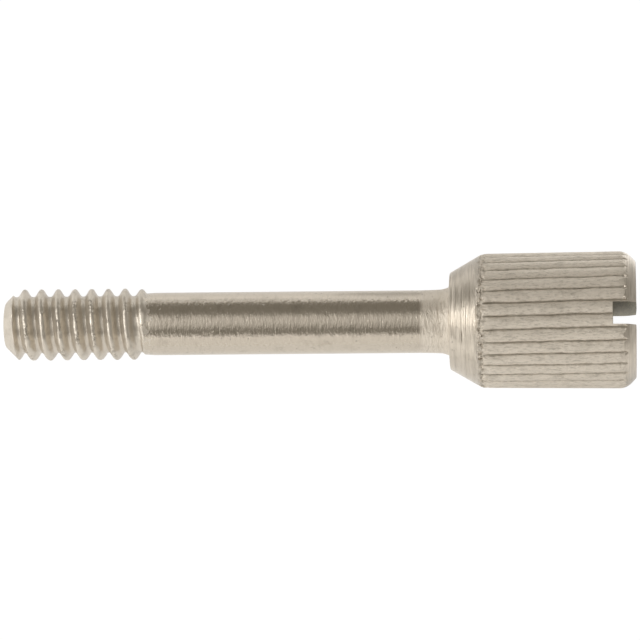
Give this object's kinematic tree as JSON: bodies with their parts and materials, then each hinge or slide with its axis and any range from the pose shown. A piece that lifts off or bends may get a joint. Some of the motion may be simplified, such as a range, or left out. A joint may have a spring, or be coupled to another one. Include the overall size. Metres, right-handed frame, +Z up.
{
  "type": "thumb screw",
  "caption": "Slotted captive thumb screw with a straight-knurled barrel head, a plain shank thinner than its right-hand machine thread, and a chamfered tip.",
  "frame": {"origin": "centre of the bounding box's bottom face, on the surface that the screw lies on", "axes": "+X points from the tip to the head, along the table; +Z up; the screw's own axis rises towards the head by about 3.8 degrees in the XZ plane"},
  "size_m": [0.03, 0.0064, 0.0068],
  "materials": {
    "nickel_steel": "turned and rolled, with a thin satin nickel plate"
  },
  "bodies": {
    "root": {"thumb_screw": "nickel_steel"}
  },
  "joints": []
}
